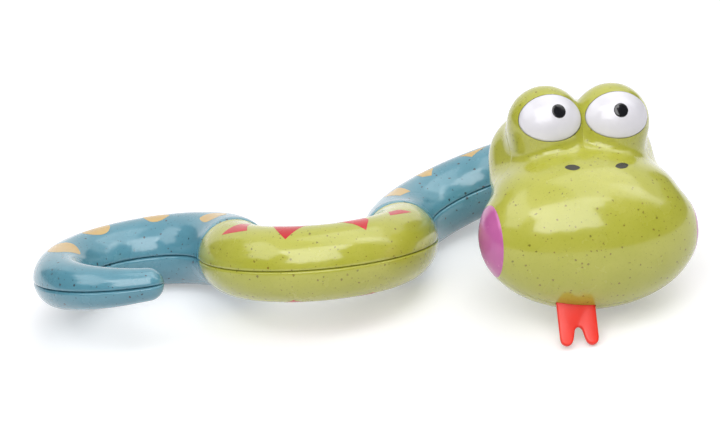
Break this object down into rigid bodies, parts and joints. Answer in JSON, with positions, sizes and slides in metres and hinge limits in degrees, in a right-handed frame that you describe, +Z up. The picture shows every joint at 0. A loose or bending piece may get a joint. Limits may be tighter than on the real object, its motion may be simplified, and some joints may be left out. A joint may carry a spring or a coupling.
{
  "type": "twisting snake toy",
  "caption": "Tangle toy shaped as a snake: hollow curved tube segments and a big head with a forked tongue, joined by click swivels so that they twist about one another.",
  "frame": {"origin": "middle of the toy's outline on the floor it rests on", "axes": "+X from the tail towards the head, -Y towards the face's front, +Z up from the floor"},
  "size_m": [0.2614, 0.1354, 0.0862],
  "materials": {
    "blue_shell": "glossy, sparse dark flecks",
    "green_shell": "glossy, sparse brown flecks",
    "eye_white": "glossy",
    "pupil_black": "glossy",
    "tongue_red": "satin",
    "spindle_plastic": "natural",
    "spring_plastic": "natural",
    "washer_plastic": "natural"
  },
  "bodies": {
    "middle": {"middle_upper_shell": "green_shell", "middle_lower_shell": "green_shell", "tail_click_spring": "spring_plastic", "neck_click_spring": "spring_plastic"},
    "tail": {"tail_upper_shell": "blue_shell", "tail_lower_shell": "blue_shell", "tail_spindle": "spindle_plastic", "tail_washer": "washer_plastic"},
    "neck": {"neck_upper_shell": "blue_shell", "neck_lower_shell": "blue_shell", "neck_spindle": "spindle_plastic", "neck_washer": "washer_plastic", "head_click_spring": "spring_plastic"},
    "head": {"head_front_shell": "green_shell", "head_back_shell": "green_shell", "left_eye": "eye_white", "right_eye": "eye_white", "left_pupil": "pupil_black", "right_pupil": "pupil_black", "tongue": "tongue_red", "head_spindle": "spindle_plastic", "head_washer": "washer_plastic"}
  },
  "joints": [
    {"name": "tail_swivel", "type": "hinge", "parent": "middle", "child": "tail", "pos_m": [-0.04846, 0.01714, 0.02314], "axis": [0, -0.9641, 0.2656], "range_deg": [-75, 90]},
    {"name": "neck_swivel", "type": "hinge", "parent": "middle", "child": "neck", "pos_m": [0.0194, 0.016, 0.01901], "axis": [0, -0.9641, 0.2656], "range_deg": [-120, 90]},
    {"name": "head_swivel", "type": "hinge", "parent": "neck", "child": "head", "pos_m": [0.08915, 0.02096, 0.03702], "axis": [0, -0.9641, 0.2656], "continuous": true}
  ]
}
